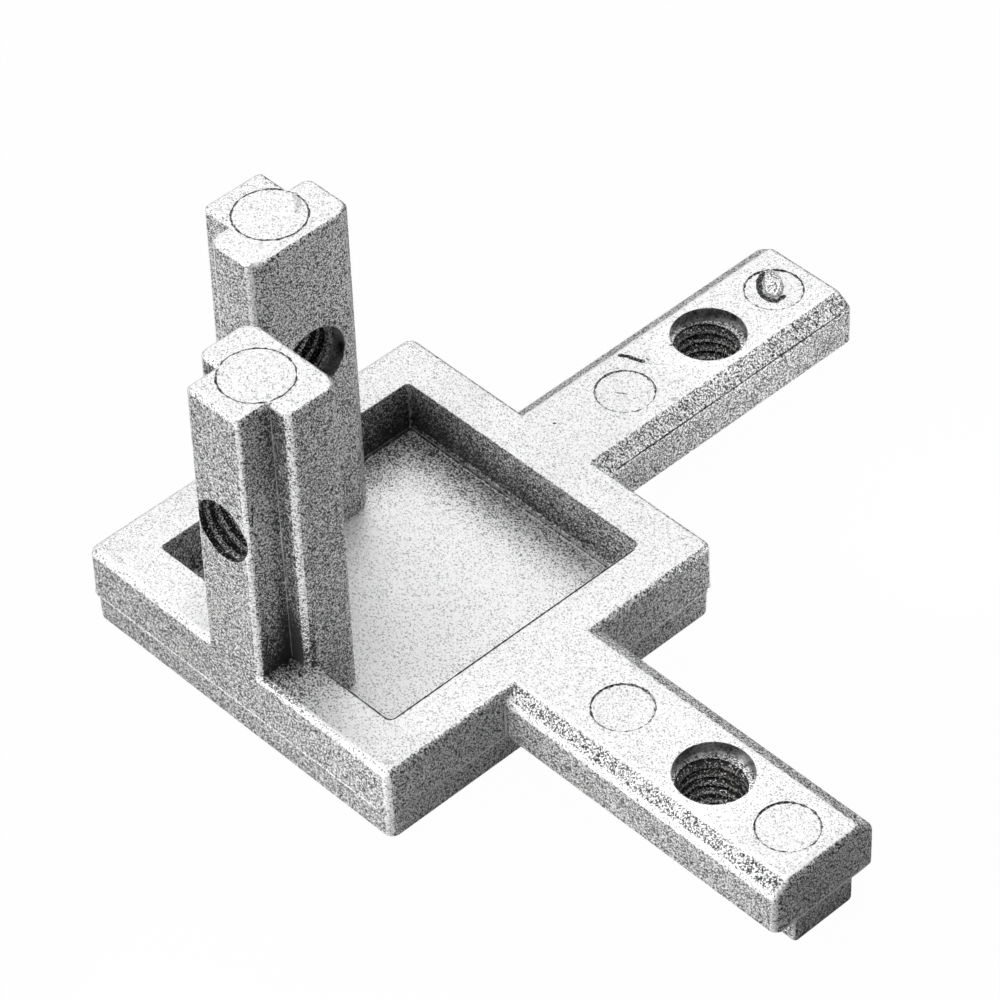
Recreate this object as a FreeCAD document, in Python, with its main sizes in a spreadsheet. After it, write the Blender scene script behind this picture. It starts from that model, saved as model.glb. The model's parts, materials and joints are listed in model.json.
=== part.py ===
import FreeCAD, Part
import math
import os
import Sketcher

# Driving sizes, in millimetres and degrees
SIZES = {
    "plate_side": 45.0,
    "plate_thick": 9.7,
    "corner_radius": 1.2,
    "top_radius": 0.8,
    "base_radius": 0.35,
    "joint_height": 3.7,
    "joint_step": 0.2,
    "side_draft": 0.35,
    "lower_draft": 1.5,
    "rim_width": 5.3,
    "recess_depth": 6.2,
    "recess_draft": 1.0,
    "recess_corner": 0.6,
    "floor_radius": 0.7,
    "neck_width": 8.1,
    "arm_length": 37.0,
    "arm_width": 13.7,
    "arm_bevel_across": 2.0,
    "arm_bevel_down": 1.3,
    "arm_edge_round": 1.0,
    "arm_end_radius": 0.9,
    "arm_foot_radius": 0.6,
    "neck_end_radius": 0.4,
    "arm_bore_place": 22.0,
    "arm_mark_near": 9.6,
    "arm_mark_far": 31.9,
    "arm_mark_size": 6.3,
    "post_height": 34.2,
    "post_width": 13.2,
    "post_depth": 11.1,
    "post_neck_depth": 4.3,
    "post_neck_round": 0.9,
    "post_side_round": 1.0,
    "post_edge_round": 1.0,
    "post_bevel_across": 1.5,
    "post_bevel_deep": 1.0,
    "post_top_radius": 0.6,
    "post_bore_height": 17.8,
    "post_mark_place": 6.0,
    "post_mark_size": 7.7,
    "mark_depth": 0.1,
    "bore_size": 6.8,
    "lead_size": 8.2,
    "lead_depth": 1.8,
}


class Size:
    """A length that keeps its number together with its spreadsheet expression."""

    def __init__(self, value, text):
        self.value = value
        self.text = text

    def join(self, other, sign, value):
        text = other.text if isinstance(other, Size) else str(other)
        return Size(value, "(" + self.text + " " + sign + " " + text + ")")

    def __add__(self, other):
        return self.join(other, "+", self.value + number(other))

    def __sub__(self, other):
        return self.join(other, "-", self.value - number(other))

    def __mul__(self, other):
        return self.join(other, "*", self.value * number(other))

    def __truediv__(self, other):
        return self.join(other, "/", self.value / number(other))

    def __neg__(self):
        return Size(-self.value, "(-1 * " + self.text + ")")


def number(item):
    return item.value if isinstance(item, Size) else item


def size(name):
    return Size(SIZES[name], "Sizes." + name)


doc = FreeCAD.newDocument("connector")
sheet = doc.addObject("Spreadsheet::Sheet", "Sizes")
for row, (name, value) in enumerate(SIZES.items(), start=1):
    sheet.set("A" + str(row), name)
    sheet.set("B" + str(row), str(value))
    sheet.setAlias("B" + str(row), name)
doc.recompute()

body = doc.addObject("PartDesign::Body", "corner_connector")
body.Label = "corner_connector"

half = size("plate_side") / 2
thick = size("plate_thick")
joint = size("joint_height")
neck = size("neck_width") / 2
floor_level = thick - size("recess_depth")
post_top = thick + size("post_height")


def origin_part(role):
    for item in body.Origin.OriginFeatures:
        if item.Role == role:
            return item
    raise RuntimeError("no origin part " + role)


def sketch(name, plane, level):
    """An empty sketch parallel to an origin plane, at a level along its normal."""
    flat = body.newObject("Sketcher::SketchObject", name)
    flat.AttachmentSupport = (origin_part(plane), [""])
    flat.MapMode = "FlatFace"
    flat.setExpression("AttachmentOffset.Base.z", level.text)
    return flat


def fix(flat, kind, index, point, length):
    """Hold one coordinate of a point at a signed distance from the origin."""
    if abs(length.value) < 1e-9:
        axis = -2 if kind == "DistanceX" else -1
        flat.addConstraint(Sketcher.Constraint("PointOnObject", index, point, axis))
        return
    if length.value > 0:
        rule = Sketcher.Constraint(kind, -1, 1, index, point, length.value)
        text = length.text
    else:
        rule = Sketcher.Constraint(kind, index, point, -1, 1, -length.value)
        text = (-length).text
    flat.setExpression("Constraints[" + str(flat.addConstraint(rule)) + "]", text)


def place(corner):
    return FreeCAD.Vector(corner[0].value, corner[1].value, 0)


def rounding(previous, corner, following):
    """The points where the rounding of a corner begins, is half way and ends."""
    point = place(corner)
    if corner[2] is None:
        return point, point, point
    radius = corner[2].value
    before = (place(previous) - point).normalize()
    after = (place(following) - point).normalize()
    turn = math.pi - before.getAngle(after)
    reach = radius * math.tan(turn / 2)
    gap = radius / math.cos(turn / 2) - radius
    return point + before * reach, point + (before + after).normalize() * gap, point + after * reach


def outline(flat, corners):
    """A closed outline of corners (x, y, rounding or None), anticlockwise."""
    count = len(corners)
    bends = [rounding(corners[index - 1], corners[index], corners[(index + 1) % count]) for index in range(count)]
    lines = []
    for index in range(count):
        side = Part.LineSegment(bends[index][2], bends[(index + 1) % count][0])
        lines.append(flat.addGeometry(side, False))
    for index, corner in enumerate(corners):
        if corner[2] is None:
            sharp_corner(flat, corner, lines[index - 1], lines[index])
        else:
            round_corner(flat, corner, bends[index], lines[index - 1], lines[index])


def sharp_corner(flat, corner, before, here):
    flat.addConstraint(Sketcher.Constraint("Coincident", before, 2, here, 1))
    fix(flat, "DistanceX", here, 1, corner[0])
    fix(flat, "DistanceY", here, 1, corner[1])


def round_corner(flat, corner, bend, before, here):
    """An arc tangent to two sides, whose lines meet in a fixed construction point."""
    start, middle, end = bend
    arc = flat.addGeometry(Part.Arc(start, middle, end), False)
    first, second = (1, 2)
    if (flat.Geometry[arc].StartPoint - start).Length > (flat.Geometry[arc].EndPoint - start).Length:
        first, second = (2, 1)
    flat.addConstraint(Sketcher.Constraint("Tangent", before, 2, arc, first))
    flat.addConstraint(Sketcher.Constraint("Tangent", arc, second, here, 1))
    rule = flat.addConstraint(Sketcher.Constraint("Radius", arc, corner[2].value))
    flat.setExpression("Constraints[" + str(rule) + "]", corner[2].text)
    tip = flat.addGeometry(Part.Point(place(corner)), True)
    fix(flat, "DistanceX", tip, 1, corner[0])
    fix(flat, "DistanceY", tip, 1, corner[1])
    flat.addConstraint(Sketcher.Constraint("PointOnObject", tip, 1, before))
    flat.addConstraint(Sketcher.Constraint("PointOnObject", tip, 1, here))


def circle(flat, x, y, width):
    ring = Part.Circle(FreeCAD.Vector(x.value, y.value, 0), FreeCAD.Vector(0, 0, 1), width.value / 2)
    index = flat.addGeometry(ring, False)
    fix(flat, "DistanceX", index, 3, x)
    fix(flat, "DistanceY", index, 3, y)
    rule = flat.addConstraint(Sketcher.Constraint("Diameter", index, width.value))
    flat.setExpression("Constraints[" + str(rule) + "]", width.text)


def feature(kind, name, flat, length, both_ways=False, reverse=False, taper=None):
    """A pad or pocket of a sketch; both_ways spreads its length about the sketch."""
    item = body.newObject("PartDesign::" + kind, name)
    item.Profile = flat
    item.Type = "Length"
    item.setExpression("Length", length.text)
    item.Midplane = both_ways
    item.Reversed = reverse
    if taper is not None:
        item.setExpression("TaperAngle", taper.text)
    flat.Visibility = False
    doc.recompute()
    body.Tip = item
    return item


def fillet(name, radius, wanted):
    """Round every edge of the body so far that the rule picks."""
    tip = body.Tip
    names = []
    for index, edge in enumerate(tip.Shape.Edges, start=1):
        if wanted(edge):
            names.append("Edge" + str(index))
    if not names:
        raise RuntimeError("no edges for " + name)
    item = body.newObject("PartDesign::Fillet", name)
    item.Base = (tip, names)
    item.setExpression("Radius", radius.text)
    doc.recompute()
    body.Tip = item
    return item


def turned(name, originals, reverse):
    """The same features again, a quarter turn about the upright axis."""
    item = body.newObject("PartDesign::PolarPattern", name)
    item.Originals = originals
    item.Axis = (origin_part("Z_Axis"), [""])
    item.Angle = 90
    item.Occurrences = 2
    item.Reversed = reverse
    body.Tip = item
    doc.recompute()
    return item


def level_edge(edge, level):
    """True where an edge lies all in one level plane."""
    box = edge.BoundBox
    return abs(box.ZMin - level.value) < 0.002 and abs(box.ZMax - level.value) < 0.002


# Plate: lower half of the casting, a step smaller than the upper half
def lower_plate():
    reach = half - size("joint_step")
    flat = sketch("lower_outline", "XY_Plane", joint)
    turn = size("corner_radius")
    outline(flat, [(-reach, -reach, turn), (reach, -reach, turn), (reach, reach, turn), (-reach, reach, turn)])
    feature("Pad", "lower_plate", flat, joint, reverse=True, taper=-size("lower_draft"))
    fillet("lower_edge", size("base_radius"), lambda edge: level_edge(edge, Size(0.0, "0")))


# Plate: upper half, with the rounded top edge
def upper_plate():
    flat = sketch("upper_outline", "XY_Plane", joint)
    turn = size("corner_radius")
    outline(flat, [(-half, -half, turn), (half, -half, turn), (half, half, turn), (-half, half, turn)])
    feature("Pad", "upper_plate", flat, thick - joint, taper=-size("side_draft"))
    fillet("upper_edge", size("top_radius"), lambda edge: level_edge(edge, thick))


# Square recess in the top, with sloping walls and a rounded floor edge
def recess():
    reach = half - size("rim_width")
    flat = sketch("recess_outline", "XY_Plane", thick)
    turn = size("recess_corner")
    outline(flat, [(-reach, -reach, turn), (reach, -reach, turn), (reach, reach, turn), (-reach, reach, turn)])
    feature("Pocket", "recess", flat, size("recess_depth"), taper=-size("recess_draft"))
    fillet("recess_floor_edge", size("floor_radius"), lambda edge: level_edge(edge, floor_level))


# Level arm along X: wide head with bevelled top edges over a narrow neck
def arm():
    root = half - size("rim_width") / 2
    wide = size("arm_width") / 2
    low = thick - size("arm_bevel_down")
    inner = wide - size("arm_bevel_across")
    head = sketch("arm_head_section", "YZ_Plane", root)
    outline(head, [(-wide, joint, None), (wide, joint, None), (wide, low, None),
                   (inner, thick, None), (-inner, thick, None), (-wide, low, None)])
    length = size("arm_length") + size("rim_width") / 2
    head_pad = feature("Pad", "arm_head", head, length)
    foot = size("arm_foot_radius")
    zero = Size(0.0, "0")
    stem = sketch("arm_neck_section", "YZ_Plane", root)
    outline(stem, [(-neck, zero, foot), (neck, zero, foot), (neck, joint + 1, None), (-neck, joint + 1, None)])
    neck_pad = feature("Pad", "arm_neck", stem, length - size("joint_step"))
    place = half + size("arm_bore_place")
    drill = sketch("arm_bore_circle", "XY_Plane", thick / 2)
    circle(drill, place, zero, size("bore_size"))
    bore = feature("Pocket", "arm_bore", drill, thick + 2, both_ways=True)
    mouth = sketch("arm_lead_circle", "XY_Plane", thick)
    circle(mouth, place, zero, size("lead_size"))
    lead = feature("Pocket", "arm_lead", mouth, size("lead_depth") * 2, both_ways=True)
    spots = sketch("arm_mark_circles", "XY_Plane", thick)
    circle(spots, half + size("arm_mark_near"), zero, size("arm_mark_size"))
    circle(spots, half + size("arm_mark_far"), zero, size("arm_mark_size"))
    marks = feature("Pocket", "arm_marks", spots, size("mark_depth") * 2, both_ways=True)
    turned("arms", [head_pad, neck_pad, bore, lead, marks], False)


# Upright post on the front side: neck flush with the plate side, wide head inside
def post():
    zero = Size(0.0, "0")
    wide = size("post_width") / 2
    shoulder = size("post_neck_depth") - half
    inside = size("post_depth") - half
    turn = size("post_neck_round")
    stem = sketch("post_neck_section", "XY_Plane", joint)
    outline(stem, [(-neck, -half, turn), (neck, -half, turn), (neck, shoulder + 1, None), (-neck, shoulder + 1, None)])
    neck_pad = feature("Pad", "post_neck", stem, post_top - joint, taper=-size("side_draft"))
    ease = size("post_side_round")
    inner = wide - size("post_bevel_across")
    bevel = inside - size("post_bevel_deep")
    head = sketch("post_head_section", "XY_Plane", floor_level)
    edge = size("post_edge_round")
    outline(head, [(-wide, shoulder, ease), (wide, shoulder, ease), (wide, bevel, edge),
                   (inner, inside, edge), (-inner, inside, edge), (-wide, bevel, edge)])
    head_pad = feature("Pad", "post_head", head, post_top - floor_level)
    height = thick + size("post_bore_height")
    drill = sketch("post_bore_circle", "XZ_Plane", half - size("post_depth") / 2)
    circle(drill, zero, height, size("bore_size"))
    bore = feature("Pocket", "post_bore", drill, size("post_depth") + 2, both_ways=True)
    mouth = sketch("post_lead_circle", "XZ_Plane", -inside)
    circle(mouth, zero, height, size("lead_size"))
    lead = feature("Pocket", "post_lead", mouth, size("lead_depth") * 2, both_ways=True)
    spot = sketch("post_mark_circle", "XY_Plane", post_top)
    circle(spot, zero, size("post_mark_place") - half, size("post_mark_size"))
    mark = feature("Pocket", "post_mark", spot, size("mark_depth") * 2, both_ways=True)
    turned("posts", [neck_pad, head_pad, bore, lead, mark], True)


def arm_ridge(edge):
    """The long edges on either side of an arm's bevels."""
    box = edge.BoundBox
    if box.ZLength > 0.01 or box.ZMin < joint.value + 0.01:
        return False
    return max(box.Center.x, box.Center.y) > half.value and max(box.XLength, box.YLength) > half.value / 2


def outer_top(edge):
    """Edges round a post top, without the round mark in its middle."""
    if not level_edge(edge, post_top):
        return False
    return not (hasattr(edge.Curve, "Radius") and edge.Curve.Radius > SIZES["post_mark_size"] / 2 - 0.1)


def end_edge(reach, low, high):
    """A rule for the edges of an arm's end face between two heights."""
    def rule(edge):
        box = edge.BoundBox
        on_x = abs(box.XMin - reach) < 0.002 and abs(box.XMax - reach) < 0.002
        on_y = abs(box.YMin - reach) < 0.002 and abs(box.YMax - reach) < 0.002
        return (on_x or on_y) and low < box.Center.z < high
    return rule


def soften_ends():
    tip = (half + size("arm_length")).value
    fillet("arm_head_ends", size("arm_end_radius"), end_edge(tip, joint.value + 0.01, thick.value + 0.01))
    fillet("arm_ridges", size("arm_edge_round"), arm_ridge)
    back = tip - SIZES["joint_step"]
    fillet("arm_neck_ends", size("neck_end_radius"), end_edge(back, -0.01, joint.value - 0.01))
    fillet("post_tops", size("post_top_radius"), outer_top)


def check():
    for item in doc.Objects:
        if "Invalid" in item.State or "Error" in item.State:
            raise RuntimeError(item.Name + " " + str(item.State))
        if hasattr(item, "Shape") and item.TypeId.startswith("PartDesign"):
            if item.Shape.isNull() or not item.Shape.isValid():
                raise RuntimeError("bad shape in " + item.Name)
    if len(body.Shape.Solids) != 1:
        raise RuntimeError("more than one solid")


lower_plate()
upper_plate()
recess()
arm()
post()
soften_ends()
doc.recompute()
check()
box = body.Shape.BoundBox
print("size", round(box.XLength, 3), round(box.YLength, 3), round(box.ZLength, 3))
print("low", round(box.XMin, 3), round(box.YMin, 3), round(box.ZMin, 3))
print("volume", round(body.Shape.Volume, 1), "faces", len(body.Shape.Faces))
os.makedirs("parts", exist_ok=True)
body.Shape.exportStep("parts/" + body.Label + ".step")
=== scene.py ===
import json
import math
import random

import bpy
from mathutils import Matrix, Vector


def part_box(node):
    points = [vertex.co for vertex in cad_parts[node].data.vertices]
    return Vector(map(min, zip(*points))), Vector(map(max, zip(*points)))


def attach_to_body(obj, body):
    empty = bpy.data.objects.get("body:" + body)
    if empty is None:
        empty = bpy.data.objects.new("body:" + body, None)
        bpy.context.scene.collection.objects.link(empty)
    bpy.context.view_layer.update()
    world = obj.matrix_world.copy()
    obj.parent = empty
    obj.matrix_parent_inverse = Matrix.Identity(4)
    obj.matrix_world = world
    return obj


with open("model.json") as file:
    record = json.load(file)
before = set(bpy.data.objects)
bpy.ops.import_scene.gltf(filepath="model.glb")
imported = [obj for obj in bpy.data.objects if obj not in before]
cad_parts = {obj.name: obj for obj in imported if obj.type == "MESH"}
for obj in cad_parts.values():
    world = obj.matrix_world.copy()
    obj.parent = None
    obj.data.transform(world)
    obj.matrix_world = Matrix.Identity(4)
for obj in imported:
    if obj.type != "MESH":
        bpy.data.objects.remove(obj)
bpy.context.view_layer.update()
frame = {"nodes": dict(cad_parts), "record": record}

MM = 0.001
NODE = "corner_connector"
UP = (0, 0, 1)
ASIDE = (1, 0, 0)

# Places on the casting, in millimetres in the part's own frame
LOW, HIGH = (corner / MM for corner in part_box(NODE))
ARM_TOP = 9.7
POST_TOP = HIGH.z
PARTING_HEIGHT = 3.7
CORNER_RADIUS = 1.2
HEAD_HALF = 6.85
NECK_HALF = 4.05
NECK_LEAN = math.tan(math.radians(0.35))
GROOVE_DEPTH = 4.3
RECESS_HALF = 17.2
RECESS_FLOOR = 3.5
WELD_GAP = 0.001
SHARP_ANGLE = 32

# Round marks of the ejector pins: places, radii and the size of the line round them
ARM_MARKS = (32.1, 54.4)
ARM_MARK_RADIUS = 3.15
POST_MARK_PLACE = LOW.y + 6.0
POST_MARK_RADIUS = 3.85
POST_MARK_LIFT = 0.06
MARK_LINE = 0.14
MARK_STEPS = 72
MARK_SIDES = 6
MARK_WANDER = 0.04
MARK_UNEVEN = (0.55, 1.25)

# Screw holes: the smooth parts, cut a hair deeper than the solid's
BORE_RADIUS = 3.42
MOUTH_RADIUS = 4.13
MOUTH_DEPTH = 1.8
BORE_AIR = 3.0
BORE_PAST_ENDS = 0.6
LEDGE_DEPTH = 0.015
ROUND_STEPS = 96

# Coarse eight millimetre screw thread
PITCH = 1.25
BORE_WALL = 3.4
THREAD_AIR = 3.2
FLANK_SLOPE = math.tan(math.radians(30))
GROOVE_HALF = 0.43
ROOT_WIDE_PART = 3.85
ROOT_NECK = 3.6
TURN_STEPS = 60

# Scratches and dents, and a dark groove that paints the lump's shadow: name, points in millimetres, direction
# out of the metal, half width, depth, darkness
SCRATCHES = (
    ("long_scratch", ((-4.51, 35.53, 9.7), (-3.6, 36.1, 9.7), (-2.7, 36.35, 9.7), (-1.71, 36.74, 9.7)),
     UP, 0.26, 0.20, "dark"),
    ("scratch_tick", ((-2.1, 37.2, 9.7), (-1.5, 37.3, 9.7)), UP, 0.07, 0.06, "dark"),
    ("short_tick", ((-1.9, 23.4, 9.7), (-1.6, 23.7, 9.7)), UP, 0.12, 0.08, "dark"),
    ("hole_nick", ((-1.75, 40.3, 9.7), (-1.5, 40.7, 9.7)), UP, 0.15, 0.10, "dark"),
    ("faint_scratch", ((-0.7, 31.3, 9.6), (0.1, 31.9, 9.6), (0.5, 32.0, 9.6)), UP, 0.08, 0.08, "dark"),
    ("edge_dent", ((4.25, 34.6, 9.7), (4.6, 34.9, 9.7), (4.9, 35.2, 9.66)), UP, 0.30, 0.05, "grey"),
    ("corner_dent", ((20.7, -21.3, 9.7), (21.1, -21.1, 9.7), (21.5, -20.9, 9.68)), UP, 0.32, 0.06, "grey"),
    ("upper_crease", ((3.87, -21.35, 32.7), (3.88, -21.5, 31.4), (3.89, -21.6, 30.1)),
     ASIDE, 0.13, 0.12, "dark"),
    ("middle_crease", ((3.89, -21.45, 29.3), (3.90, -21.35, 28.4)), ASIDE, 0.10, 0.10, "dark"),
    ("rim_edge_line", ((7.8, -17.32, 9.7), (16.7, -17.32, 9.7), (17.12, -17.12, 9.7), (17.32, -16.7, 9.7),
                       (17.32, 16.4, 9.7)), UP, 0.09, 0.10, "dark"),
    ("post_dent", ((-17.3, 3.9, 43.9), (-16.4, 3.5, 43.9), (-15.4, 2.8, 43.9), (-14.7, 2.0, 43.9)),
     UP, 0.35, 0.06, "grey"),
    # painted shadow: a dark groove round the lump's left and lower side
    ("lump_shadow", ((-2.75, 55.8, 9.6), (-2.15, 54.3, 9.6), (-0.8, 53.1, 9.6), (0.35, 52.85, 9.6),
                     (1.4, 53.3, 9.6), (1.45, 54.7, 9.6)), UP, 0.33, 0.22, "dark"),
    ("lower_crease", ((3.91, -21.25, 26.8), (3.92, -21.0, 25.9)), ASIDE, 0.12, 0.12, "dark"),
    ("bevel_edge_line", ((6.70, 24.0, 8.32), (6.70, 57.8, 8.32)), (0.88, 0, 0.48), 0.10, 0.12, "dark"),
)
SCRATCH_STEP = 0.35
SCRATCH_AIR = 0.1
SCRATCH_ENDS = 0.5

# Raised lines: mould flash, and bright beads that paint highlights in the corners; half width and height of
# each kind, in millimetres
BRIGHT_LINE = (0.11, 0.11)
PLAIN_LINE = (0.08, 0.10)
END_LINE = (0.13, 0.07)
RECESS_LINE = (0.07, 0.10)
CORNER_LINE = (0.12, 0.14)
GROOVE_LINE = (0.09, 0.12)
LINE_STEP = 0.8
LINE_ROOT = 0.05
LINE_ENDS = 0.35
LINE_UNEVEN = (0.75, 1.25)
CORNER_STEPS = 8
FOOT_SHIFT = 0.18

# Lump of metal in the outer round mark of the arm along +Y: outline, then width share and height by level
LUMP = ((-2.55, 55.7), (-1.85, 54.5), (-0.65, 53.45), (0.3, 53.2), (1.1, 53.6), (1.1, 54.7), (0.3, 55.7),
        (-0.85, 56.3), (-1.9, 56.6), (-2.55, 56.4))
LUMP_LEVELS = ((1.0, -0.15), (0.97, 0.18), (0.80, 0.36), (0.52, 0.42), (0.25, 0.40))
LUMP_STEP = 0.3
LUMP_WIDTH_UNEVEN = (0.94, 1.06)
LUMP_HEIGHT_UNEVEN = (-0.05, 0.05)

# Grain: a random level for each cell, dark below the first pit level and bright above the second
GRAIN_SCALE = 7900
PIT_LEVELS = (0.28, 0.72)
PIT_COLOURS = (0.04, 1.0)
ROUGH_SCALE = 5000
ROUGH_DEPTH = 0.14
CLOUD_SCALE = 90
SOFT_EDGE = 0.18
SPECK_SCALE = 6000

# Painted light: what the grain's levels gain on level faces, a painted top light, and on rounded edges away
# from the arms, a painted highlight; facings are parts of the face's normal
PAINTED_TOP_LIGHT = 0.42
LEVEL_FACING = (0.90, 0.97)
PAINTED_EDGE_HIGHLIGHT = 0.30
FLAT_FACING = 0.98
BEVEL_FACING = 0.836
BEVEL_SPREAD = 0.012
ARMS_FACING = 0.25

# Painted shade: what the grain's levels lose in the recess' corners, in the posts' grooves and on the rim
# beside the posts, and how far from the corner, in millimetres
PAINTED_RECESS_SHADE_DROP = 0.62
RECESS_REACH = 7.0
CORNER_NEAR = 0.3
RECESS_FADE = (-34, 10)
PAINTED_GROOVE_SHADE_DROP = 0.30
GROOVE_NEAR = 0.5
GROOVE_REACH = 2.0
PAINTED_FOOT_SHADOW_DROP = 0.55
POST_FOOT_REACH = 9.0

# Camera as found from the photograph: angles in degrees, lengths in millimetres
VIEW_AZIMUTH = 47.945
VIEW_ELEVATION = 44.043
VIEW_ROLL = -2.401
VIEW_DISTANCE = 508.5
VIEW_ASIDE = 10.339
VIEW_UP = 11.147
SENSOR = 36.0
FOCAL_PIXELS = 4963.1
IMAGE_PIXELS = 1000.0

# Soft lamps: name, compass angle from the front, height angle, distance and side in metres, watts
PART_MIDDLE = 0.01
LAMPS = (
    ("overhead_lamp", 0, 90, 0.9, 0.5, 1.5),
    ("back_left_lamp", 240, 55, 0.9, 0.5, 2.1),
    ("back_left_far_lamp", 228, 44, 1.2, 0.35, 1.43),
    ("back_high_lamp", 205, 60, 0.9, 0.5, 1.2),
    ("front_lamp", 330, 25, 0.8, 0.8, 5.2),
    ("front_low_lamp", 350, 10, 0.6, 0.3, 1.1),
    ("back_near_lamp", 170, 40, 0.18, 0.08, 0.05),
)

# Small lamps beside the arms: name, place, aim, side in metres, watts
NEAR_LAMPS = (
    ("arm_y_lamp", (0.043, 0.052, 0.008), (0.007, 0.052, 0.005), 0.01, 0.012),
    ("arm_x_lamp", (0.030, -0.060, 0.010), (0.045, -0.007, 0.005), 0.03, 0.012),
)

# Narrow lamps into three screw holes: name, the hole's mouth in metres, direction to the lamp, watts
HOLE_LAMPS = (
    ("hole_x_lamp", (0.0445, 0.0, 0.0060), (0.30, -0.34, 0.89), 0.20),
    ("hole_y_lamp", (0.0, 0.0445, 0.0060), (0.30, -0.34, 0.89), 0.20),
    ("hole_front_lamp", (0.0, -0.0200, 0.0275), (0.42, -0.80, 0.42), 0.12),
)
HOLE_LAMP_REACH = 0.09
HOLE_LAMP_ANGLE = 5.2
HOLE_LAMP_BLEND = 0.3
HOLE_LAMP_RADIUS = 0.003

# White surroundings, and how much of them the metal mirrors
FLOOR_WHITE = 0.985
FLOOR_GLOSS = 0.1
FLOOR_GREY = 0.38
FLOOR_HALF = 4.0
FLOOR_HEIGHT = -0.00005
WORLD_GLOSS = 0.1


# Small helpers
def node(tree, kind, **values):
    """A shader node; values named as its sockets or its own settings."""
    made = tree.nodes.new(kind)
    for name, value in values.items():
        socket = made.inputs.get(name.replace("_", " "))
        if socket is not None:
            socket.default_value = value
        else:
            setattr(made, name, value)
    return made


def link(tree, start, end):
    """Join an output to an input."""
    tree.links.new(start, end)


def solid(name, points, faces, *materials):
    """A closed mesh from points in millimetres; with more materials, one for each side of its section."""
    mesh = bpy.data.meshes.new(name)
    mesh.from_pydata([Vector(point) * MM for point in points], [], faces)
    for material in materials:
        mesh.materials.append(material)
    if len(materials) > 1:
        for face in mesh.polygons:
            face.material_index = face.index % len(materials)
    piece = bpy.data.objects.new(name, mesh)
    bpy.context.scene.collection.objects.link(piece)
    return piece


def across(axis):
    """Two directions square to an axis and to each other, right-handed with it."""
    axis = Vector(axis).normalized()
    first = axis.orthogonal().normalized()
    return first, axis.cross(first)


def swept(rings, closed):
    """Points and faces of a tube through rings of equal count; ends capped unless it closes on itself."""
    count = len(rings[0])
    points = [point for ring in rings for point in ring]
    faces = []
    last = len(rings) if closed else len(rings) - 1
    for index in range(last):
        here = index * count
        after = ((index + 1) % len(rings)) * count
        for side in range(count):
            beside = (side + 1) % count
            faces.append((here + side, after + side, after + beside, here + beside))
    if not closed:
        faces.append(tuple(range(count)))
        end = (len(rings) - 1) * count
        faces.append(tuple(reversed(range(end, end + count))))
    return points, faces


# Material helpers
def metal(name, metallic=0.9):
    """A metal material's node tree, its shader and the place on the part."""
    material = bpy.data.materials.new(name)
    material.use_nodes = True
    tree = material.node_tree
    shader = tree.nodes["Principled BSDF"]
    shader.inputs["Metallic"].default_value = metallic
    return material, tree, shader, node(tree, "ShaderNodeTexCoord").outputs["Object"]


def noise(tree, place, scale, detail=2.0, roughness=0.5):
    """Soft random levels from nought to one."""
    made = node(tree, "ShaderNodeTexNoise", Scale=scale, Detail=detail, Roughness=roughness)
    link(tree, place, made.inputs["Vector"])
    return made.outputs["Fac"]


def cells(tree, place, scale):
    """A random level for each small cell, from nought to one."""
    made = node(tree, "ShaderNodeTexVoronoi", Scale=scale)
    link(tree, place, made.inputs["Vector"])
    parts = node(tree, "ShaderNodeSeparateColor")
    link(tree, made.outputs["Color"], parts.inputs[0])
    return parts.outputs[0]


def spread(tree, value, low, high, to_low=0.0, to_high=1.0):
    """A value mapped from one range to another and clamped there."""
    made = node(tree, "ShaderNodeMapRange", clamp=True)
    for name, number in (("From Min", low), ("From Max", high), ("To Min", to_low), ("To Max", to_high)):
        made.inputs[name].default_value = number
    link(tree, value, made.inputs["Value"])
    return made.outputs["Result"]


def math_node(tree, operation, first, second=0.0):
    """A sum with one or two values, each a number or an output."""
    made = node(tree, "ShaderNodeMath", operation=operation)
    for socket, value in zip(made.inputs, (first, second)):
        if isinstance(value, (int, float)):
            socket.default_value = value
        else:
            link(tree, value, socket)
    return made.outputs[0]


def product(tree, first, *others):
    """All values multiplied."""
    for other in others:
        first = math_node(tree, "MULTIPLY", first, other)
    return first


def split(tree, vector):
    """The parts of a vector, by the names of the axes."""
    made = node(tree, "ShaderNodeSeparateXYZ")
    link(tree, vector, made.inputs[0])
    return made.outputs


def distance(tree, first, second):
    """Length of the line that goes the two values along two axes."""
    squares = [product(tree, part, part) for part in (first, second)]
    return math_node(tree, "SQRT", math_node(tree, "ADD", *squares))


def bumped(tree, shader, height, strength, depth, normal=None):
    """Hills and pits in the shader's normal, their depth in millimetres."""
    bump = node(tree, "ShaderNodeBump", Strength=strength, Distance=depth * MM)
    link(tree, height, bump.inputs["Height"])
    if normal is not None:
        link(tree, normal, bump.inputs["Normal"])
    link(tree, bump.outputs["Normal"], shader.inputs["Normal"])


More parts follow.
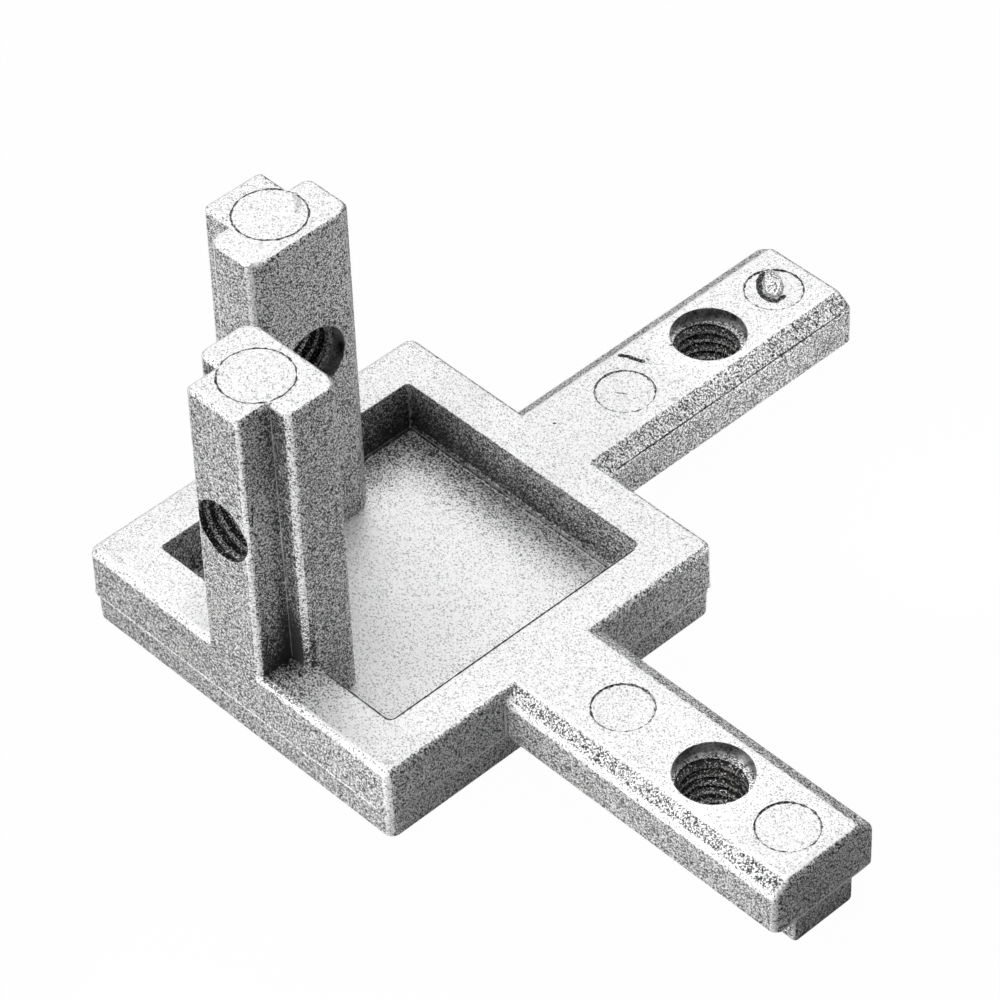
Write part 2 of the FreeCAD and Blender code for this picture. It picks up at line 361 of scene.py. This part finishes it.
# The casting's grain
def painted_top_and_edge_light(tree):
    """Painted light: grain level added on faces that look up, and a painted highlight on rounded edges that
    face away from the arms.
    """
    normal = tree.nodes.new("ShaderNodeNewGeometry").outputs["True Normal"]
    lengths = node(tree, "ShaderNodeVectorMath", operation="ABSOLUTE")
    link(tree, normal, lengths.inputs[0])
    signed = split(tree, normal)
    facing = split(tree, lengths.outputs[0])
    upward = spread(tree, facing["Z"], *LEVEL_FACING, 0.0, PAINTED_TOP_LIGHT)
    beside = math_node(tree, "MAXIMUM", facing["X"], facing["Y"])
    main = math_node(tree, "MAXIMUM", beside, facing["Z"])
    turned = math_node(tree, "LESS_THAN", main, FLAT_FACING)
    from_bevel = math_node(tree, "ABSOLUTE", math_node(tree, "SUBTRACT", main, BEVEL_FACING))
    off_bevel = math_node(tree, "GREATER_THAN", from_bevel, BEVEL_SPREAD)
    to_arms = math_node(tree, "ADD", signed["X"], signed["Y"])
    off_arms = math_node(tree, "LESS_THAN", to_arms, ARMS_FACING)
    # painted highlight on rounded edges that face away from the arms, off the bevels
    return math_node(tree, "ADD", upward, product(tree, turned, off_bevel, off_arms, PAINTED_EDGE_HIGHLIGHT))


def painted_groove_shade(tree, axes):
    """Painted shade: grain level taken away in the inner corners of the posts' grooves."""
    drops = []
    for across_post, outward in (("X", "Y"), ("Y", "X")):
        width = math_node(tree, "ABSOLUTE", axes[across_post])
        from_neck = math_node(tree, "SUBTRACT", width, (NECK_HALF + 0.6) * MM)
        from_shoulder = math_node(tree, "SUBTRACT", axes[outward], (LOW.x + GROOVE_DEPTH) * MM)
        near = distance(tree, from_neck, from_shoulder)
        drops.append(spread(tree, near, GROOVE_NEAR * MM, GROOVE_REACH * MM, -PAINTED_GROOVE_SHADE_DROP, 0.0))
    above_rim = math_node(tree, "GREATER_THAN", axes["Z"], (ARM_TOP + 0.1) * MM)
    below_top = math_node(tree, "LESS_THAN", axes["Z"], (POST_TOP - 0.6) * MM)
    return product(tree, math_node(tree, "MINIMUM", *drops), above_rim, below_top)


def painted_post_foot_shadow(tree, axes):
    """Painted shadow: grain level taken away on the rim beside the posts, where they shade it."""
    above = math_node(tree, "SUBTRACT", axes["Z"], ARM_TOP * MM)
    over_rim = math_node(tree, "GREATER_THAN", above, -0.3 * MM)
    drops = []
    for across_post, outward in (("X", "Y"), ("Y", "X")):
        beside = math_node(tree, "SUBTRACT", axes[across_post], (NECK_HALF - 0.1) * MM)
        near = distance(tree, beside, above)
        on_rim = math_node(tree, "LESS_THAN", axes[outward], -RECESS_HALF * MM)
        outside = math_node(tree, "GREATER_THAN", beside, 0.0)
        drop = spread(tree, near, CORNER_NEAR * MM, POST_FOOT_REACH * MM, -PAINTED_FOOT_SHADOW_DROP, 0.0)
        drops.append(product(tree, drop, on_rim, outside))
    return product(tree, math_node(tree, "MINIMUM", *drops), over_rim)


def painted_recess_shade(tree, axes):
    """Painted shade: grain level taken away in the recess, most at the foot of its walls and in its corner at
    -X and +Y.
    """
    walls = []
    for axis in ("X", "Y"):
        reach = math_node(tree, "ABSOLUTE", axes[axis])
        walls.append(math_node(tree, "SUBTRACT", RECESS_HALF * MM, reach))
    beside = math_node(tree, "MINIMUM", *walls)
    above = math_node(tree, "SUBTRACT", axes["Z"], RECESS_FLOOR * MM)
    near = distance(tree, beside, above)
    below_rim = math_node(tree, "LESS_THAN", axes["Z"], (ARM_TOP - 0.15) * MM)
    between_walls = math_node(tree, "GREATER_THAN", beside, -0.3 * MM)
    drop = spread(tree, near, CORNER_NEAR * MM, RECESS_REACH * MM, -PAINTED_RECESS_SHADE_DROP, 0.0)
    along = math_node(tree, "SUBTRACT", axes["X"], axes["Y"])
    fading = spread(tree, along, RECESS_FADE[0] * MM, RECESS_FADE[1] * MM, 1.0, 0.2)
    return product(tree, drop, below_rim, between_walls, fading)


def cast_metal():
    """Fine blasted zinc casting: bright grain with small dark specks; painted shade adds more specks in
    corners, and painted light takes them away on level faces and rounded edges.
    """
    material, tree, shader, place = metal("cast_metal_grain_and_painted_light", 0.6)
    grain = cells(tree, place, GRAIN_SCALE)
    rough = noise(tree, place, ROUGH_SCALE, 2.0, 0.6)
    cloud = noise(tree, place, CLOUD_SCALE, 3.0, 0.5)
    soft = node(tree, "ShaderNodeBevel", samples=4, Radius=SOFT_EDGE * MM)
    bumped(tree, shader, rough, 1.0, ROUGH_DEPTH, soft.outputs["Normal"])

    # The grain's level, lifted by painted top light and edge highlights and lowered by painted shade in
    # corners
    level = grain
    axes = split(tree, place)
    corners = (painted_recess_shade(tree, axes), painted_groove_shade(tree, axes), painted_post_foot_shadow(tree, axes))
    for change in (painted_top_and_edge_light(tree), *corners):
        level = math_node(tree, "ADD", level, change)
    grain_colour_and_painted_light = spread(tree, level, *PIT_LEVELS, *PIT_COLOURS)
    clouds = spread(tree, cloud, 0.3, 0.7, 0.93, 1.0)
    link(tree, product(tree, grain_colour_and_painted_light, clouds), shader.inputs["Base Color"])
    link(tree, spread(tree, rough, 0.35, 0.65, 0.42, 0.52), shader.inputs["Roughness"])
    return material


# The other metals
def speckled_metal(name, low, high, dark, bright):
    """Torn metal: dark, with painted glints, a bright base colour where the noise is above a level."""
    material, tree, shader, place = metal(name, 0.5)
    speck = noise(tree, place, SPECK_SCALE, 1.0, 0.5)
    bumped(tree, shader, speck, 0.8, 0.10)
    link(tree, spread(tree, speck, low, high, dark, bright), shader.inputs["Base Color"])
    link(tree, spread(tree, speck, low, high, 0.5, 0.3), shader.inputs["Roughness"])
    return material


def reamed_metal():
    """Smooth wall left by the drill, in lighter and darker patches."""
    material, tree, shader, place = metal("reamed_metal")
    patch = noise(tree, place, 420, 2.0, 0.5)
    streak = noise(tree, place, 3000, 2.0, 0.6)
    bumped(tree, shader, streak, 0.2, 0.04)
    level = math_node(tree, "ADD", product(tree, patch, 0.8), product(tree, streak, 0.2))
    link(tree, spread(tree, level, 0.36, 0.62, 0.12, 0.72), shader.inputs["Base Color"])
    link(tree, spread(tree, streak, 0.35, 0.65, 0.22, 0.34), shader.inputs["Roughness"])
    return material


def painted_highlight_metal():
    """Thin raised lines whose bright colour is a painted highlight."""
    material, tree, shader, place = metal("painted_highlight_metal")
    speck = noise(tree, place, 4200, 2.0, 0.6)
    link(tree, spread(tree, speck, 0.35, 0.55, 0.62, 0.95), shader.inputs["Base Color"])
    link(tree, spread(tree, speck, 0.35, 0.65, 0.30, 0.42), shader.inputs["Roughness"])
    return material


# Tool shapes that cut the screw holes
def thread_in_neck(place):
    """True where the metal round a screw hole is only as wide as the narrow neck."""
    in_post_neck = place.z > ARM_TOP and min(place.x, place.y) < LOW.x + GROOVE_DEPTH
    return place.z < PARTING_HEIGHT or in_post_neck


def groove_ring(middle, along, first, second, turn, travel):
    """The groove's section at one place of the helix, from the bore's air to the root."""
    outward = first * math.cos(turn) + second * math.sin(turn)
    place = middle + along * travel
    root = ROOT_NECK if thread_in_neck(place) else ROOT_WIDE_PART
    air_half = GROOVE_HALF + (BORE_WALL - THREAD_AIR) * FLANK_SLOPE
    root_half = GROOVE_HALF - (root - BORE_WALL) * FLANK_SLOPE
    corners = ((-air_half, THREAD_AIR), (-root_half, root), (root_half, root), (air_half, THREAD_AIR))
    return [place + along * shift + outward * reach for shift, reach in corners]


def thread_tool(name, mount, material):
    """A helical ridge that cuts the thread of one screw hole."""
    middle = Vector(mount["pos_m"]) / MM
    along = Vector(mount["axis"]).normalized()
    first, second = across(along)
    reach = mount["dims"]["length_mm"] / 2 + PITCH
    steps = int(2 * reach / PITCH * TURN_STEPS)
    rings = []
    for step in range(steps + 1):
        turn = 2 * math.pi * step / TURN_STEPS
        travel = PITCH * step / TURN_STEPS - reach
        rings.append(groove_ring(middle, along, first, second, turn, travel))
    return solid(name, *swept(rings, False), material)


def bore_tool(name, mount, wall, ledge, crest):
    """Cuts a screw hole's wall, its wider mouth and the ledge between them a hair deeper."""
    middle = Vector(mount["pos_m"]) / MM
    along = Vector(mount["axis"]).normalized()
    first, second = across(along)
    half = mount["dims"]["length_mm"] / 2
    start = -half - MOUTH_DEPTH - BORE_PAST_ENDS
    step_place = -half + LEDGE_DEPTH
    end = half + BORE_PAST_ENDS
    profile = ((start, BORE_AIR), (start, MOUTH_RADIUS), (step_place, MOUTH_RADIUS),
               (step_place, BORE_RADIUS), (end, BORE_RADIUS), (end, BORE_AIR))
    rings = []
    for step in range(ROUND_STEPS):
        turn = 2 * math.pi * step / ROUND_STEPS
        outward = first * math.cos(turn) + second * math.sin(turn)
        rings.append([middle + along * shift + outward * reach for shift, reach in profile])
    return solid(name, *swept(rings, True), wall, wall, ledge, crest, crest, crest)


# Tool shapes that cut lines and scratches
def bead(path, half_width, above, below, seed, ends):
    """Rings of a thin uneven strip along a path of places and directions out of the metal."""
    draw = random.Random(seed)
    rings = []
    for index, (place, out) in enumerate(path):
        place, out = Vector(place), Vector(out).normalized()
        before = Vector(path[max(index - 1, 0)][0])
        after = Vector(path[min(index + 1, len(path) - 1)][0])
        side = (after - before).normalized().cross(out)
        size = draw.uniform(*LINE_UNEVEN)
        if index in (0, len(path) - 1):
            size *= ends
        rings.append([place + side * half_width * size, place + out * above * size,
                      place - side * half_width * size, place - out * below * size])
    return rings


def finely(points, step):
    """Points along a polyline, not further apart than a step."""
    fine = []
    for start, end in zip(points, points[1:]):
        start, end = Vector(start), Vector(end)
        parts = max(1, math.ceil((end - start).length / step))
        fine += [start.lerp(end, part / parts) for part in range(parts)]
    return fine + [Vector(points[-1])]


def round_ring(middle, radius, tube, seed):
    """Rings of a thin, slightly uneven level torus."""
    axis = Vector(UP)
    first, second = across(axis)
    angles = [2 * math.pi * side / MARK_SIDES for side in range(MARK_SIDES)]
    draw = random.Random(seed)
    rings = []
    for step in range(MARK_STEPS):
        turn = 2 * math.pi * step / MARK_STEPS
        outward = first * math.cos(turn) + second * math.sin(turn)
        centre = middle + outward * (radius + draw.uniform(-MARK_WANDER, MARK_WANDER))
        size = tube * draw.uniform(*MARK_UNEVEN)
        rings.append([centre + (outward * math.cos(a) + axis * math.sin(a)) * size for a in angles])
    return rings


def mark_tools(material):
    """Lines round the marks that the ejector pins left."""
    spots = []
    for reach in ARM_MARKS:
        spots.append(((reach, 0, ARM_TOP), ARM_MARK_RADIUS))
        spots.append(((0, reach, ARM_TOP), ARM_MARK_RADIUS))
    post_height = POST_TOP + POST_MARK_LIFT
    spots.append(((0, POST_MARK_PLACE, post_height), POST_MARK_RADIUS))
    spots.append(((POST_MARK_PLACE, 0, post_height), POST_MARK_RADIUS))
    tools = []
    for index, (middle, radius) in enumerate(spots):
        rings = round_ring(Vector(middle), radius, MARK_LINE, index)
        tools.append(solid("mark_tool_" + str(index), *swept(rings, True), material))
    return tools


def scratch_tools(dark, grey):
    """Wedges that cut the scratches and dents."""
    finish = {"dark": dark, "grey": grey}
    tools = []
    for seed, (name, points, out, half_width, depth, tone) in enumerate(SCRATCHES):
        path = [(point, out) for point in finely(points, SCRATCH_STEP)]
        rings = bead(path, half_width, SCRATCH_AIR, depth, seed, SCRATCH_ENDS)
        tools.append(solid(name + "_tool", *swept(rings, False), finish[tone]))
    return tools


# Thin raised lines, some mould flash and some painted highlights, and the lump that the mould left
def attach(piece):
    """A piece that stays with the casting."""
    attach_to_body(piece, "root")


def raised(name, path, line, seed, material):
    """A thin raised line along a path."""
    half_width, height = line
    rings = bead(path, half_width, height, LINE_ROOT, seed, LINE_ENDS)
    attach(solid(name, *swept(rings, False), material))


def straight(start, end, out):
    """A straight path with one direction out of the metal."""
    return [(point, out) for point in finely((start, end), LINE_STEP)]


def plate_corner(x_side, y_side):
    """Places round one corner of the plate at the parting height, with the directions out of it."""
    reach = -LOW.x - CORNER_RADIUS
    middle = Vector((x_side * reach, y_side * reach, PARTING_HEIGHT))
    path = []
    for step in range(CORNER_STEPS + 1):
        turn = math.pi / 2 * step / CORNER_STEPS
        out = Vector((x_side * math.cos(turn), y_side * math.sin(turn), 0))
        path.append((middle + out * CORNER_RADIUS, out))
    return path


def parting_lines(plain, bright):
    """Flash round the plate where the mould's halves met; on the right and back its bright colour is a
    painted highlight.
    """
    side = -LOW.x
    turn = side - CORNER_RADIUS
    level = PARTING_HEIGHT
    right = straight((side, -HEAD_HALF, level), (side, -turn, level), (1, 0, 0))
    raised("parting_line_right", right, BRIGHT_LINE, 12, bright)
    front = list(reversed(plate_corner(1, -1)))
    front += straight((turn, -side, level), (-turn, -side, level), (0, -1, 0))[1:]
    front += list(reversed(plate_corner(-1, -1)))[1:]
    front += straight((-side, -turn, level), (-side, turn, level), (-1, 0, 0))[1:]
    front += plate_corner(-1, 1)[1:]
    front += straight((-turn, side, level), (-HEAD_HALF, side, level), (0, 1, 0))[1:]
    raised("parting_line_front", front, PLAIN_LINE, 1, plain)
    back = straight((HEAD_HALF, side, level), (turn, side, level), (0, 1, 0))
    back += list(reversed(plate_corner(1, 1)))[1:]
    back += straight((side, turn, level), (side, HEAD_HALF, level), (1, 0, 0))[1:]
    raised("parting_line_back", back, BRIGHT_LINE, 2, bright)


def arm_end_lines(material):
    """Flash across the arms' ends, its bright colour a painted highlight."""
    level = PARTING_HEIGHT
    reach = HIGH.x
    end = HEAD_HALF - 0.6
    across_x = straight((reach, -end, level), (reach, end, level), (1, 0, 0))
    across_y = straight((end, reach, level), (-end, reach, level), (0, 1, 0))
    raised("arm_x_end_line", across_x, END_LINE, 3, material)
    raised("arm_y_end_line", across_y, END_LINE, 4, material)


def recess_lines(material):
    """Thin raised lines that paint a highlight where the recess' far walls meet its floor and each other."""
    inner = RECESS_HALF - 0.35
    low = RECESS_FLOOR + 0.25
    back = straight((-inner, inner, low), (inner, inner, low), (0, -1, 1))
    left = straight((-inner, -inner, low), (-inner, inner, low), (1, 0, 1))
    upright = straight((-inner + 0.07, inner - 0.07, low + 0.4), (-inner, inner, ARM_TOP - 0.6), (1, -1, 0))
    raised("recess_back_line", back, RECESS_LINE, 9, material)
    raised("recess_left_line", left, RECESS_LINE, 10, material)
    raised("recess_corner_line", upright, RECESS_LINE, 11, material)


def arm_corner_lines(sign, side_name, material):
    """Thin raised lines that paint a highlight up the inner corners on one side of the arms."""
    foot = -LOW.x + FOOT_SHIFT
    edge = (HEAD_HALF + FOOT_SHIFT) * sign
    top = ARM_TOP - 1.4
    beside_x = straight((foot, edge, PARTING_HEIGHT), (foot, edge, top), (1, sign, 0))
    beside_y = straight((edge, foot, PARTING_HEIGHT), (edge, foot, top), (sign, 1, 0))
    raised("arm_x_corner_" + side_name, beside_x, CORNER_LINE, 5, material)
    raised("arm_y_corner_" + side_name, beside_y, CORNER_LINE, 6, material)


def groove_lines(sign, side_name, material):
    """Thin raised lines that paint a highlight up the posts' grooves on one side, leaning with the necks."""
    inner = LOW.x + GROOVE_DEPTH
    low, high = ARM_TOP + 0.2, POST_TOP - 1.0
    wall_low, wall_high = (sign * (NECK_HALF - NECK_LEAN * (level - PARTING_HEIGHT)) for level in (low, high))
    front = straight((wall_low, inner, low), (wall_high, inner, high), (sign, -1, 0))
    left = straight((inner, wall_low, low), (inner, wall_high, high), (-1, sign, 0))
    raised("front_groove_" + side_name, front, GROOVE_LINE, 7, material)
    raised("left_groove_" + side_name, left, GROOVE_LINE, 8, material)


def lump(material):
    """A small irregular nub with a torn, bumpy top."""
    draw = random.Random(11)
    outline = finely([(x, y, ARM_TOP) for x, y in LUMP + LUMP[:1]], LUMP_STEP)[:-1]
    middle = sum(outline, Vector()) / len(outline)
    rings = []
    for share, height in LUMP_LEVELS:
        ring = []
        for point in outline:
            aside = (point - middle) * share * draw.uniform(*LUMP_WIDTH_UNEVEN)
            lift = height + draw.uniform(*LUMP_HEIGHT_UNEVEN)
            ring.append(middle + aside + Vector(UP) * lift)
        rings.append(ring)
    piece = solid("cast_lump", *swept(rings, False), material)
    smooth = piece.modifiers.new("smooth", "SUBSURF")
    smooth.levels = smooth.render_levels = 1
    attach(piece)


# What is done to the casting's own mesh
def cut(piece, tools, name):
    """Take the tools' shapes out of a piece; the tools themselves don't show."""
    group = bpy.data.collections.new(name)
    for tool in tools:
        group.objects.link(tool)
        tool.hide_render = True
        tool.display_type = "WIRE"
        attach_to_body(tool, "root")
    work = piece.modifiers.new(name, "BOOLEAN")
    work.operand_type = "COLLECTION"
    work.collection = group
    work.operation = "DIFFERENCE"
    work.solver = "MANIFOLD"
    work.material_mode = "TRANSFER"


def edge_shading(piece):
    """Crisp edges where faces turn sharply and smooth shading elsewhere."""
    tree = bpy.data.node_groups.new("edge_shading", "GeometryNodeTree")
    tree.interface.new_socket("Geometry", in_out="INPUT", socket_type="NodeSocketGeometry")
    tree.interface.new_socket("Geometry", in_out="OUTPUT", socket_type="NodeSocketGeometry")
    start = tree.nodes.new("NodeGroupInput")
    end = tree.nodes.new("NodeGroupOutput")
    clean = node(tree, "GeometryNodeRemoveAttribute", Name="custom_normal")
    faces = node(tree, "GeometryNodeSetShadeSmooth", domain="FACE")
    edges = node(tree, "GeometryNodeSetShadeSmooth", domain="EDGE")
    edges.inputs["Shade Smooth"].default_value = False
    angle = tree.nodes.new("GeometryNodeInputMeshEdgeAngle")
    sharp = node(tree, "FunctionNodeCompare", data_type="FLOAT", operation="GREATER_THAN")
    sharp.inputs["B"].default_value = math.radians(SHARP_ANGLE)
    link(tree, angle.outputs["Unsigned Angle"], sharp.inputs["A"])
    link(tree, sharp.outputs["Result"], edges.inputs["Selection"])
    link(tree, start.outputs[0], clean.inputs[0])
    link(tree, clean.outputs[0], faces.inputs[0])
    link(tree, faces.outputs[0], edges.inputs[0])
    link(tree, edges.outputs[0], end.inputs[0])
    work = piece.modifiers.new("edge_shading", "NODES")
    work.node_group = tree
    weigh = piece.modifiers.new("face_weight", "WEIGHTED_NORMAL")
    weigh.mode = "FACE_AREA"
    weigh.keep_sharp = True


def cut_casting(piece):
    """The threads, the marks and the scratches, each with its own metal."""
    wall = reamed_metal()
    # Thread metals: a dark base, partly oil and partly painted shade deep in the holes, with painted glints
    ledge = speckled_metal("ledge_metal", 0.46, 0.53, 0.06, 1.0)
    crest = speckled_metal("crest_metal", 0.48, 0.54, 0.03, 1.0)
    valley = speckled_metal("valley_metal", 0.60, 0.68, 0.02, 0.9)
    line = speckled_metal("mark_metal", 0.52, 0.66, 0.01, 0.45)
    dent = speckled_metal("dent_metal", 0.35, 0.65, 0.30, 0.75)
    threads = []
    for mount in frame["record"]["mounts"]:
        if mount["kind"] == "threaded_hole":
            threads.append(bore_tool(mount["name"] + "_bore_tool", mount, wall, ledge, crest))
            threads.append(thread_tool(mount["name"] + "_tool", mount, valley))
    cut(piece, threads, "threads")
    cut(piece, mark_tools(line) + scratch_tools(line, dent), "marks")


# The casting itself
def casting():
    """The casting with its finish and painted light, what the mould left on it, and beads that paint
    highlights in its corners.
    """
    piece = frame["nodes"][NODE]
    # This metal carries the painted top light, edge highlights and corner shade
    grain = cast_metal()
    piece.data.materials.clear()
    piece.data.materials.append(grain)
    weld = piece.modifiers.new("weld", "WELD")
    weld.merge_threshold = WELD_GAP * MM
    cut_casting(piece)
    edge_shading(piece)
    bright = painted_highlight_metal()
    parting_lines(grain, bright)
    arm_end_lines(bright)
    recess_lines(bright)
    for sign, side_name in ((1, "far"), (-1, "near")):
        arm_corner_lines(sign, side_name, bright)
        groove_lines(sign, side_name, bright)
    lump(speckled_metal("lump_metal", 0.42, 0.56, 0.10, 1.0))


# Stage, light and camera
def background_share(tree, gloss):
    """White for the camera and through glass; a smaller share where the metal mirrors it."""
    path = tree.nodes.new("ShaderNodeLightPath")
    direct = math_node(tree, "MAXIMUM", path.outputs["Is Camera Ray"], path.outputs["Is Transmission Ray"])
    mirrored = product(tree, path.outputs["Is Glossy Ray"], gloss)
    return math_node(tree, "MAXIMUM", direct, mirrored)


def floor_material():
    """Nearly white where it is seen, with the object's shadow, and grey for the light."""
    material = bpy.data.materials.new("floor")
    material.use_nodes = True
    tree = material.node_tree
    tree.nodes.clear()
    out = tree.nodes.new("ShaderNodeOutputMaterial")
    plain = node(tree, "ShaderNodeBsdfDiffuse", Color=(FLOOR_GREY, FLOOR_GREY, FLOOR_GREY, 1))
    white = node(tree, "ShaderNodeEmission", Color=(1, 1, 1, 1), Strength=1.0)
    seen = node(tree, "ShaderNodeMixShader")
    link(tree, product(tree, background_share(tree, FLOOR_GLOSS), FLOOR_WHITE), seen.inputs[0])
    link(tree, plain.outputs[0], seen.inputs[1])
    link(tree, white.outputs[0], seen.inputs[2])
    link(tree, seen.outputs[0], out.inputs[0])
    return material


def floor():
    """A wide level sheet just under the part."""
    half, low = FLOOR_HALF, FLOOR_HEIGHT
    corners = [(-half, -half, low), (half, -half, low), (half, half, low), (-half, half, low)]
    mesh = bpy.data.meshes.new("floor")
    mesh.from_pydata(corners, [], [(0, 1, 2, 3)])
    mesh.materials.append(floor_material())
    piece = bpy.data.objects.new("floor", mesh)
    bpy.context.scene.collection.objects.link(piece)


def lamp(name, kind, place, back, power):
    """A lamp at a place in metres that shines against the direction back."""
    data = bpy.data.lights.new(name, kind)
    data.energy = power
    piece = bpy.data.objects.new(name, data)
    bpy.context.scene.collection.objects.link(piece)
    piece.location = place
    piece.rotation_mode = "QUATERNION"
    piece.rotation_quaternion = back.to_track_quat("Z", "Y")
    piece.visible_camera = False
    return data


def soft_lamp(name, place, aim, size, power):
    """A square lamp at a place in metres, turned to another."""
    place = Vector(place)
    lamp(name, "AREA", place, place - Vector(aim), power).size = size


def soft_lamp_round(name, azimuth, elevation, reach, size, power):
    """A soft lamp by its compass angle from the front, its height angle and its distance from the part."""
    turn, lift = math.radians(azimuth), math.radians(elevation)
    level = reach * math.cos(lift)
    place = (PART_MIDDLE + level * math.sin(turn), PART_MIDDLE - level * math.cos(turn),
             PART_MIDDLE + reach * math.sin(lift))
    soft_lamp(name, place, (PART_MIDDLE, PART_MIDDLE, PART_MIDDLE), size, power)


def hole_lamp(name, mouth, direction, power):
    """A narrow lamp that shines on the threads of one screw hole."""
    direction = Vector(direction).normalized()
    data = lamp(name, "SPOT", Vector(mouth) + direction * HOLE_LAMP_REACH, direction, power)
    data.spot_size = math.radians(HOLE_LAMP_ANGLE)
    data.spot_blend = HOLE_LAMP_BLEND
    data.shadow_soft_size = HOLE_LAMP_RADIUS


def light():
    """All lamps, and the white surroundings."""
    for settings in LAMPS:
        soft_lamp_round(*settings)
    for settings in NEAR_LAMPS:
        soft_lamp(*settings)
    for settings in HOLE_LAMPS:
        hole_lamp(*settings)
    world = bpy.data.worlds.new("surroundings")
    bpy.context.scene.world = world
    world.use_nodes = True
    tree = world.node_tree
    back = tree.nodes["Background"]
    back.inputs["Color"].default_value = (1, 1, 1, 1)
    link(tree, background_share(tree, WORLD_GLOSS), back.inputs["Strength"])


def camera():
    """The photograph's camera."""
    turn, lift, roll = (math.radians(angle) for angle in (VIEW_AZIMUTH, VIEW_ELEVATION, VIEW_ROLL))
    back = Vector((math.sin(turn) * math.cos(lift), -math.cos(turn) * math.cos(lift), math.sin(lift)))
    right = Vector((math.cos(turn), math.sin(turn), 0))
    up = back.cross(right)
    place = (right * VIEW_ASIDE + up * VIEW_UP + back * VIEW_DISTANCE) * MM
    side = right * math.cos(roll) + up * math.sin(roll)
    top = up * math.cos(roll) - right * math.sin(roll)
    data = bpy.data.cameras.new("camera")
    data.sensor_width = SENSOR
    data.lens = SENSOR * FOCAL_PIXELS / IMAGE_PIXELS
    data.clip_start = 0.01
    data.clip_end = 50
    piece = bpy.data.objects.new("camera", data)
    bpy.context.scene.collection.objects.link(piece)
    axes = Matrix((side, top, back)).transposed().to_4x4()
    piece.matrix_world = Matrix.Translation(place) @ axes
    bpy.context.scene.camera = piece


casting()
floor()
light()
camera()
bpy.context.scene.view_settings.view_transform = "Standard"
